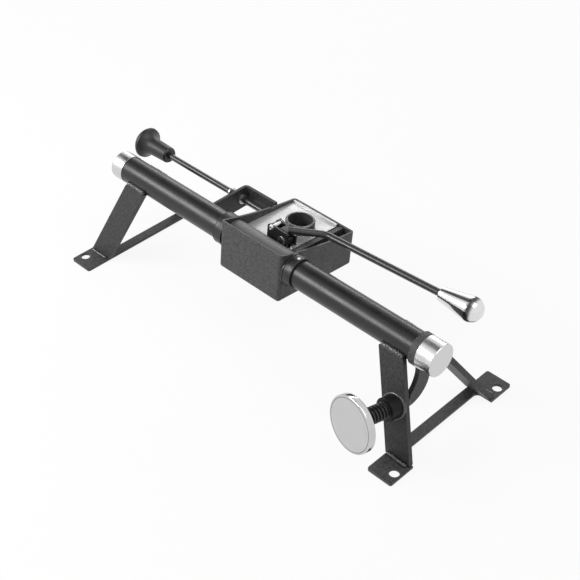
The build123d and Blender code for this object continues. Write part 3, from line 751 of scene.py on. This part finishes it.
@dataclass
class SocketScrew:
    """A bright screw with a domed head, a round socket in it and a washer under it."""

    name: str
    place: Place
    head_radius: float = 2.9
    head_height: float = 2.1
    washer_radius: float = 4.1
    washer_height: float = 0.7
    socket_radius: float = 1.35
    socket_depth: float = 1.2
    dome: tuple[Pair, ...] = ((0.55, 1.0), (0.30, 0.86), (0.15, 0.72))
    washer_bevel: float = 0.18

    def build(self) -> bpy.types.Object:
        """Makes the screw.

        Returns:
            The screw in its place.
        """
        height = self.washer_height * MM
        piece = Workpiece(self.name, "cylinder", vertices=48, radius=self.washer_radius * MM,
                          depth=height, location=(0, 0, height / 2))
        with piece.editing():
            piece.pick_faces(lambda face: face.normal.z > FACING_UP)
            bpy.ops.mesh.inset(thickness=(self.washer_radius - self.head_radius) * MM)
            top = self.head_radius
            for share, scale in self.dome:
                piece.raise_top(self.head_height * share, scale)
                top *= scale
            bpy.ops.mesh.inset(thickness=(top - self.socket_radius) * MM)
            piece.raise_top(-self.socket_depth)
            piece.pick_rims(self.washer_radius - self.washer_bevel / 2)
            bpy.ops.mesh.bevel(offset=self.washer_bevel * MM, segments=2)
        return piece.settle(self.place.matrix(), smooth_angle=28.0)


@dataclass
class RetainingRing:
    """A bright open ring that keeps a pin in its cheek."""

    name: str
    place: Place
    inner_radius: float
    outer_radius: float
    thickness: float = 0.8
    gap: float = 50.0
    bevel: float = 0.12

    def build(self) -> bpy.types.Object:
        """Makes the ring.

        Returns:
            The ring in its place.
        """
        piece = Workpiece(self.name, "circle", vertices=72, radius=self.inner_radius * MM,
                          fill_type="NOTHING")
        with piece.editing():
            piece.pick_corners(lambda corner: abs(WeldRing.angle(corner)) < self.gap / 2)
            bpy.ops.mesh.delete(type="VERT")
            bpy.ops.mesh.select_all(action="SELECT")
            bpy.ops.mesh.extrude_edges_move()
            widen = self.outer_radius / self.inner_radius
            bpy.ops.transform.resize(value=(widen, widen, 1), center_override=(0, 0, 0))
        piece.modify("SOLIDIFY", thickness=self.thickness * MM, offset=0)
        piece.modify("BEVEL", width=self.bevel * MM, segments=2, limit_method="ANGLE")
        return piece.settle(self.place.matrix())


@dataclass
class Assembly:
    """A sub-assembly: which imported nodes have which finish, and what is added to them."""

    finishes: Finishes
    title: str = ""
    nodes: Mapping[str, str] = field(default_factory=dict)

    def dress(self) -> None:
        """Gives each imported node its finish."""
        for node, finish in self.nodes.items():
            self.finishes.dress(frame["nodes"][node], finish)

    def keep(self, piece: bpy.types.Object, body: Body, finish: str,
             slot: str = "") -> bpy.types.Object:
        """Finishes a new piece and lets it ride on its body.

        Args:
            piece: The finished object.
            body: The body that carries it.
            finish: Its finish here.
            slot: The record's material slot, where it isn't named as the finish. Not used.

        Returns:
            The piece.
        """
        slot = slot or finish
        self.finishes.dress(piece, finish)
        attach(piece, body.value)
        log.info("%s: %s", self.title, piece.name)
        return piece

    def build(self) -> None:
        """Adds the new pieces. A sub-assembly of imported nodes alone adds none."""


@dataclass
class SeatFrame(Assembly):
    """The tube on its four legs and two plates, with the welds that join them."""

    title: str = "seat frame"
    nodes: Mapping[str, str] = field(default_factory=lambda: {
        "cross_tube": "gloss_black_paint", "left_side_plate": "satin_black_paint",
        "right_side_plate": "satin_black_paint", "left_front_leg": "leg_paint",
        "right_front_leg": "leg_paint", "left_rear_leg": "satin_black_paint",
        "right_rear_leg": "satin_black_paint", "lock_bracket": "leg_paint",
        "tension_boss": "boss_paint", "left_end_cap": "chrome_plate",
        "bar_end_plug": "plain_steel", "torsion_bar": "plain_steel"})
    tube_radius: float = 16.0
    top_bead: float = 3.4
    foot_bead: float = 2.6
    strap_bead: float = 1.7
    strap_arc: Pair = (-14.0, 36.0)
    boss_radius: float = 12.5
    boss_bead: float = 2.2
    circlip_bite: float = 0.1
    circlip_radius: float = 18.4
    circlip_thickness: float = 1.2
    circlip_places: Mapping[Side, float] = field(
        default_factory=lambda: {Side.LEFT: -61.3, Side.RIGHT: 53.3})
    strap_thickness: float = 3.6
    bead_lift: float = 0.3
    bead_tuck: float = 0.2
    ring_stand_off: float = 0.5
    top_search: Pair = (0.3, 1.0)
    foot_search: Pair = (1.0, -0.6)
    top_seed: int = 11
    foot_seed: int = 31

    def build(self) -> None:
        """Adds every weld of the seat frame."""
        for number, (side, row) in enumerate((side, row) for side in Side for row in Row):
            self.weld_leg(f"{side.name.lower()}_{row.name.lower()}_leg", row, number)
        self.weld_strap()
        self.weld_boss()
        for side, x in self.circlip_places.items():
            origin = TUBE_LINE + RIGHTWARD * x * MM
            ring = RetainingRing(f"{side.name.lower()}_circlip", Place(origin, -UPWARD, RIGHTWARD),
                                 self.tube_radius - self.circlip_bite, self.circlip_radius,
                                 self.circlip_thickness)
            self.keep(ring.build(), Body.SEAT_FRAME, "black_oxide_steel")

    def weld(self, bead: WeldRun | WeldRing) -> None:
        """Makes a bead, gives it the weld paint and fixes it to the seat frame."""
        self.keep(bead.build(), Body.SEAT_FRAME, "weld_paint", "satin_black_paint")

    @staticmethod
    def corner(leg: str, side: int, row: Row, search: Pair) -> Vector:
        """The corner of a leg that is furthest outwards and upwards, each by its weight."""
        outward, upward = search
        return furthest(leg, Vector((side * SMALL, row.value * outward, upward)))

    def weld_leg(self, leg: str, row: Row, number: int) -> None:
        """Welds a leg's top to the tube, in the corner between them, and its foot to its plate.

        Args:
            leg: The leg's node.
            row: Which row it stands in.
            number: Its place in the order, which goes into the draw of its ripples.
        """
        tops, feet = [], []
        for side in Side:
            corner = self.corner(leg, side.value, row, self.top_search)
            out = Vector((0, corner.y - TUBE_LINE.y, corner.z - TUBE_LINE.z)).normalized()
            lift = self.top_bead * self.bead_lift
            centre = TUBE_LINE + out * (self.tube_radius + lift) * MM
            tops.append(Vector((corner.x - side.value * lift * MM, centre.y, centre.z)))
            shift = Vector((-side.value, row.value * self.bead_tuck, self.bead_lift))
            corner = self.corner(leg, side.value, row, self.foot_search)
            feet.append(corner + shift * self.foot_bead * MM)
        self.weld(WeldRun(f"{leg}_top_weld", *tops, self.top_bead, seed=self.top_seed + number))
        self.weld(WeldRun(f"{leg}_foot_weld", *feet, self.foot_bead, seed=self.foot_seed + number))

    def weld_strap(self) -> None:
        """Welds the lock's strap to the back of the tube, on both of its faces."""
        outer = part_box("lock_bracket")[0].x
        for name, x in (("outer", outer), ("inner", outer + self.strap_thickness * MM)):
            origin = Vector((x, TUBE_LINE.y, TUBE_LINE.z))
            place = Place(origin, Vector((0, 1, 0)), -RIGHTWARD)
            ring = WeldRing(f"strap_{name}_weld", place, self.tube_radius + self.ring_stand_off,
                            self.strap_bead, arc=self.strap_arc, seed=47)
            self.weld(ring)

    def weld_boss(self) -> None:
        """Welds the tension boss to the face of its leg."""
        top = self.corner("right_front_leg", 0, Row.FRONT, self.top_search)
        foot = self.corner("right_front_leg", 0, Row.FRONT, self.foot_search)
        rise = Vector((0, top.y - foot.y, top.z - foot.z)).normalized()
        place = Place(BOLT.origin, RIGHTWARD, RIGHTWARD.cross(-rise))
        ring = WeldRing("tension_boss_weld", place, self.boss_radius + self.ring_stand_off,
                        self.boss_bead, seed=53)
        self.weld(ring)


@dataclass
class TiltHousing(Assembly):
    """The tilting steel housing and what is fixed in it."""

    title: str = "tilt housing"
    nodes: Mapping[str, str] = field(default_factory=lambda: {
        "tilt_housing": "satin_black_paint", "guide_rib": "satin_black_paint",
        "cone_plate": "zinc_sheet", "gas_lift_sleeve": "phosphated_steel",
        "torsion_anchor": "plain_steel", "anchor_foot": "plain_steel",
        "anchor_screws": "black_oxide_steel", "lever_bracket": "black_oxide_steel",
        "lever_pivot_pin": "black_oxide_steel", "lever_stop_pin": "bright_zinc",
        "left_pivot_bush": "black_oxide_steel", "right_pivot_bush": "black_oxide_steel"})
    cover_top: float = 4.0
    sleeve_centre: Pair = (-3.5, 56.8)
    sleeve_radius: float = 16.5
    screw_places: tuple[Pair, ...] = ((17.0, 22.4), (17.0, 31.6))
    stop: Pair = (-8.5, 19.5)
    pivot: Pair = (7.0, 10.0)
    front_cheek: float = 17.2
    rear_cheek: float = 32.5
    collar_radius: float = 18.25
    grub_x: float = 50.2
    grub_angle: float = 92.0
    grub_sink: float = 0.4
    sleeve_bead: float = 1.1
    sleeve_stand_off: float = 0.3
    clip_stand_off: float = 0.35
    clip_width: float = 2.4
    stop_clip_radius: float = 2.45
    pivot_clip_radius: float = 2.95

    def build(self) -> None:
        """Adds the sleeve's weld, the bright screws and the pin's rings."""
        x, y = self.sleeve_centre
        ring = WeldRing("gas_lift_sleeve_weld", HOUSING.shifted(x, y, self.cover_top),
                        self.sleeve_radius + self.sleeve_stand_off, self.sleeve_bead,
                        ripple=1.3, seed=61)
        self.keep(ring.build(), Body.HOUSING, "plain_steel")
        for number, (x, y) in enumerate(self.screw_places, 1):
            screw = SocketScrew(f"cover_screw_{number}", HOUSING.shifted(x, y, self.cover_top),
                                head_radius=1.5, head_height=1.4, washer_radius=1.95,
                                washer_height=0.4, socket_radius=0.7, socket_depth=0.8)
            self.keep(screw.build(), Body.HOUSING, "bright_zinc")
        self.pin_ends()
        self.grub_screw()

    def pin_ends(self) -> None:
        """Adds the head of the stop pin and the clips that keep both pins in their cheeks."""
        backward = HOUSING.z.cross(HOUSING.x)
        (stop_x, stop_z), (pivot_x, pivot_z) = self.stop, self.pivot
        head = Place(HOUSING.point(stop_x, self.front_cheek, stop_z), RIGHTWARD, -backward)
        screw = SocketScrew("stop_pin_head", head, head_radius=2.9, head_height=1.7,
                            washer_radius=3.4, washer_height=0.4, socket_radius=1.2,
                            socket_depth=0.9)
        self.keep(screw.build(), Body.HOUSING, "bright_zinc")
        front = self.front_cheek - self.clip_stand_off
        rear = self.rear_cheek + self.clip_stand_off
        ends = {"stop_pin_clip": (stop_x, rear, stop_z, self.stop_clip_radius),
                "pivot_pin_front_clip": (pivot_x, front, pivot_z, self.pivot_clip_radius),
                "pivot_pin_rear_clip": (pivot_x, rear, pivot_z, self.pivot_clip_radius)}
        for name, (x, y, z, radius) in ends.items():
            clip = RetainingRing(name, Place(HOUSING.point(x, y, z), -HOUSING.z, backward), radius,
                                 radius + self.clip_width, thickness=0.6, gap=70.0)
            self.keep(clip.build(), Body.HOUSING, "bright_zinc")

    def grub_screw(self) -> None:
        """Adds the small bright screw that holds the right bush on its collar."""
        angle = math.radians(self.grub_angle)
        out = Vector((0, -math.cos(angle), math.sin(angle)))
        offset = RIGHTWARD * self.grub_x + out * (self.collar_radius - self.grub_sink)
        place = Place(TUBE_LINE + offset * MM, RIGHTWARD, out)
        screw = SocketScrew("collar_grub_screw", place, head_radius=1.6, head_height=0.7,
                            washer_radius=1.9, washer_height=0.5, socket_radius=0.8,
                            socket_depth=0.6)
        self.keep(screw.build(), Body.HOUSING, "bright_zinc")


@dataclass
class LiftLever(Assembly):
    """The rocker, its rod and the chromed handle."""

    title: str = "lift lever"
    nodes: Mapping[str, str] = field(default_factory=lambda: {
        "lever_rocker": "black_oxide_steel", "lift_lever": "black_rod",
        "lift_handle": "handle_chrome"})


@dataclass
class TiltLock(Assembly):
    """The sliding lock rod with its clips and knob."""

    title: str = "tilt lock"
    nodes: Mapping[str, str] = field(default_factory=lambda: {
        "lock_rod": "black_rod", "lock_clips": "bright_zinc",
        "lock_knob": "black_knob_plastic"})


@dataclass
class TensionAdjuster(Assembly):
    """The tension screw with its thread and disc, and the arm that it pushes."""

    title: str = "tension adjuster"
    nodes: Mapping[str, str] = field(default_factory=lambda: {
        "thrust_cap": "black_oxide_steel", "preload_arm": "satin_black_paint",
        "bar_drive_plug": "plain_steel", "right_end_cap": "chrome_plate"})
    screw_start: float = -8.5
    screw_end: float = 49.2
    crest_radius: float = 9.0
    thread_depth: float = 2.0
    pitch: float = 4.0
    flank_base: float = 2.7
    crest_share: float = 0.52
    disc_radius: float = 30.5
    disc_front: float = 57.2
    disc_back: float = 49.2
    crown: float = 0.5
    crown_steps: int = 6
    rim_width: float = 2.0
    rim_bevel: float = 1.3
    disc_bead: float = 1.5
    bead_stand_off: float = 0.4
    bead_sink: float = 0.2

    def build(self) -> None:
        """Adds the threaded screw, the disc and the weld between them."""
        screw = self.keep(self.threaded_screw(), Body.ADJUSTER, "black_oxide_steel")
        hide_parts("tension_bolt")
        disc = self.keep(self.disc(), Body.ADJUSTER, "disc_chrome", "chrome_plate")
        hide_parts("tension_knob")
        ring = WeldRing("tension_disc_weld", BOLT.shifted(0, 0, self.disc_back - self.bead_sink),
                        self.crest_radius + self.bead_stand_off, self.disc_bead, seed=71)
        self.keep(ring.build(), Body.ADJUSTER, "black_oxide_steel")

    def threaded_screw(self) -> bpy.types.Object:
        """Turns a trapezoidal thread from the outline of one of its turns.

        Returns:
            The screw in its place.
        """
        middle = self.crest_radius - self.thread_depth / 2
        piece = Workpiece("tension_screw", "plane", size=MM, rotation=(math.pi / 2, 0, 0),
                          location=(middle * MM, 0, 0))
        here = (middle * MM, 0, 0)
        turns = math.ceil((self.screw_end - self.screw_start) / self.pitch) + 2
        with piece.editing():
            bpy.ops.mesh.select_all(action="SELECT")
            bpy.ops.transform.resize(value=(self.thread_depth, 1, self.flank_base),
                                     center_override=here)
            piece.pick_corners(lambda corner: corner.x > middle * MM)
            bpy.ops.transform.resize(value=(1, 1, self.crest_share), center_override=here)
            piece.pick_faces(lambda face: True)
            bpy.ops.mesh.delete(type="ONLY_FACE")
            piece.pick_edges(lambda edge: all(corner.co.x < middle * MM for corner in edge.verts))
            bpy.ops.mesh.delete(type="EDGE")
            piece.pick_corners(lambda corner: corner.x < middle * MM and corner.z > 0)
            land = (self.pitch - self.flank_base) * MM
            bpy.ops.mesh.extrude_vertices_move(TRANSFORM_OT_translate={"value": (0, 0, land)})
            bpy.ops.mesh.select_all(action="SELECT")
            bpy.ops.transform.translate(value=(0, 0, (self.screw_start - self.pitch) * MM))
        piece.modify("SCREW", axis="Z", angle=2 * math.pi, screw_offset=self.pitch * MM,
                     iterations=turns, steps=64, render_steps=64, use_merge_vertices=True,
                     merge_threshold=MERGE / 2 * MM)
        with piece.editing():
            bpy.ops.mesh.select_all(action="SELECT")
            bpy.ops.mesh.remove_doubles(threshold=MERGE * MM)
            for height, outward in ((self.screw_start, -1), (self.screw_end, 1)):
                bpy.ops.mesh.select_all(action="SELECT")
                bpy.ops.mesh.bisect(plane_co=(0, 0, height * MM), plane_no=(0, 0, outward),
                                    use_fill=True, clear_outer=True)
        log.info("thread: %d turns", turns)
        return piece.settle(BOLT.matrix(), smooth_angle=30.0)

    def disc(self) -> bpy.types.Object:
        """Makes the knob's disc, with a shallow crown and a rolled rim.

        Returns:
            The disc in its place.
        """
        depth = self.disc_front - self.disc_back - self.crown
        piece = Workpiece("tension_disc", "cylinder", vertices=160, radius=self.disc_radius * MM,
                          depth=depth * MM, location=(0, 0, (self.disc_back + depth / 2) * MM))
        with piece.editing():
            piece.pick_rims(self.disc_radius - self.rim_bevel / 2)
            bpy.ops.mesh.bevel(offset=self.rim_bevel * MM, segments=5)
            piece.pick_faces(lambda face: face.normal.z > FACING_UP)
            bpy.ops.mesh.inset(thickness=(self.rim_width - self.rim_bevel) * MM)
            face_radius = self.disc_radius - self.rim_width
            before = 1.0
            for index in range(1, self.crown_steps + 1):
                share = 1 - index / (self.crown_steps + 1)
                bpy.ops.mesh.inset(thickness=face_radius * (before - share) * MM)
                rise = self.crown * (before**2 - share**2)
                bpy.ops.transform.translate(value=(0, 0, rise * MM))
                before = share
        return piece.settle(BOLT.matrix(), smooth_angle=24.0)


@dataclass(frozen=True)
class Softbox:
    """A rectangular studio lamp."""

    name: str
    centre: Triple
    size: Pair
    energy: float
    aim: Triple = (0.0, 0.0, 0.06)

    def build(self) -> None:
        """Hangs the lamp and turns it to the object."""
        bpy.ops.object.light_add(type="AREA", location=self.centre)
        lamp = bpy.context.object
        lamp.name = self.name
        lamp.data.shape = "RECTANGLE"
        lamp.data.size, lamp.data.size_y = self.size
        lamp.data.energy = self.energy
        ahead = Vector(self.aim) - Vector(self.centre)
        lamp.rotation_euler = ahead.to_track_quat("-Z", "Y").to_euler()


@dataclass(frozen=True)
class Studio:
    """The pale floor, the backdrop and the lamps."""

    floor_half: float = 4.0
    floor_drop: float = 0.2
    floor_grain: float = 6.0
    floor_shades: Pair = (0.9306, 0.94)
    floor_glow_share: float = 0.88
    fill: float = 0.36
    flag_shade: float = 0.10
    flag_direction: Triple = (-0.539, 0.19, 0.821)
    flag_half_angles: Pair = (13.0, 23.0)
    lamps: tuple[Softbox, ...] = (
        Softbox("front_softbox", (-0.92, -1.13, 0.99), (1.1, 0.6), 20.0),
        Softbox("overhead_softbox", (0.75, 0.10, 1.75), (1.3, 1.3), 9.0),
        Softbox("rear_left_softbox", (-1.0, 1.5, 0.75), (1.2, 0.35), 6.0),
    )

    def build(self) -> None:
        """Sets up the whole studio."""
        self.lay_floor()
        self.hang_backdrop()
        for lamp in self.lamps:
            lamp.build()
            log.info("studio: %s", lamp.name)

    def seen(self, nodes: Nodes) -> Socket:
        """A mask that is 1 for what the camera, a mirror or a glass sees.

        Args:
            nodes: The node tree that it goes in.

        Returns:
            The mask.
        """
        path = nodes.add("LightPath")
        total = path.outputs["Is Camera Ray"]
        for name in ("Is Glossy Ray", "Is Transmission Ray"):
            inputs = {0: total, 1: path.outputs[name]}
            total = nodes.add("Math", inputs, operation="MAXIMUM").outputs["Value"]
        return total

    def lay_floor(self) -> None:
        """Lays a matt white floor that keeps the object's shadow and looks white itself."""
        floor = Workpiece("floor", "plane", size=2 * self.floor_half,
                          location=(0, 0, -self.floor_drop * MM)).object
        material = bpy.data.materials.new("studio_floor")
        material.use_nodes = True
        nodes = Nodes(material.node_tree)
        nodes.tree.nodes.clear()
        place = nodes.add("TexCoord").outputs["Object"]
        grain = nodes.add("TexNoise", {"Vector": place, "Scale": self.floor_grain}).outputs["Fac"]
        tone = nodes.mixed(*self.floor_shades, grain)
        matt = nodes.add("BsdfDiffuse", {"Color": tone}).outputs["BSDF"]
        white = nodes.add("Emission").outputs["Emission"]
        inputs = {0: self.seen(nodes), 1: self.floor_glow_share}
        share = nodes.add("Math", inputs, operation="MULTIPLY").outputs["Value"]
        both = nodes.add("MixShader", {"Fac": share, 1: matt, 2: white}).outputs["Shader"]
        nodes.add("OutputMaterial", {"Surface": both})
        floor.data.materials.append(material)

    def hang_backdrop(self) -> None:
        """Puts white all round, one dark flag overhead for metal to mirror, and a plain fill."""
        world = bpy.data.worlds.new("studio_backdrop")
        world.use_nodes = True
        nodes = Nodes(world.node_tree)
        fill = nodes.tree.nodes["Background"]
        nodes.feed(fill.inputs["Color"], WHITE)
        nodes.feed(fill.inputs["Strength"], self.fill)
        inputs = {0: nodes.add("TexCoord").outputs["Generated"], 1: self.flag_direction}
        nearness = nodes.add("VectorMath", inputs, operation="DOT_PRODUCT").outputs["Value"]
        inner, outer = (math.cos(math.radians(angle)) for angle in self.flag_half_angles)
        inputs = {"Value": nearness, "From Min": outer, "From Max": inner, "To Min": 1.0,
                  "To Max": self.flag_shade}
        flag = nodes.add("MapRange", inputs, interpolation_type="SMOOTHSTEP").outputs["Result"]
        backdrop = nodes.add("Background", {"Color": WHITE, "Strength": flag})
        inputs = {"Fac": self.seen(nodes), 1: fill.outputs["Background"],
                  2: backdrop.outputs["Background"]}
        both = nodes.add("MixShader", inputs).outputs["Shader"]
        nodes.feed(nodes.tree.nodes["World Output"].inputs["Surface"], both)
        bpy.context.scene.world = world
        bpy.context.scene.view_settings.view_transform = "Standard"


@dataclass(frozen=True)
class PhotoCamera:
    """The camera that the photograph was solved for: where it stands and how it looks down."""

    place: Triple = (712.26, -703.24, 880.48)
    azimuth: float = 44.6
    elevation: float = 39.9
    focal_pixels: float = 1179.7
    sensor: float = 36.0

    def build(self) -> None:
        """Sets the camera up."""
        azimuth = math.radians(self.azimuth)
        elevation = math.radians(self.elevation)
        ahead = Vector((-math.sin(azimuth) * math.cos(elevation),
                        math.cos(azimuth) * math.cos(elevation), -math.sin(elevation)))
        bpy.ops.object.camera_add()
        camera = bpy.context.object
        camera.name = "photo_camera"
        camera.data.sensor_width = self.sensor
        camera.data.lens = self.focal_pixels / PHOTO_WIDTH * self.sensor
        place = Place(Vector(self.place) * MM, ahead.cross(UPWARD).normalized(), -ahead)
        camera.matrix_world = place.matrix()
        bpy.context.scene.camera = camera


def main() -> None:
    """Builds and dresses the object, and sets up the studio and the camera."""
    logging.basicConfig(level=logging.INFO, format="%(name)s: %(message)s")
    finishes = Finishes.made()
    for kind in (SeatFrame, TiltHousing, LiftLever, TiltLock, TensionAdjuster):
        assembly = kind(finishes)
        assembly.dress()
        assembly.build()
        log.info("%s: %d nodes dressed", assembly.title, len(assembly.nodes))
    Studio().build()
    PhotoCamera().build()


if __name__ == "__main__":
    main()
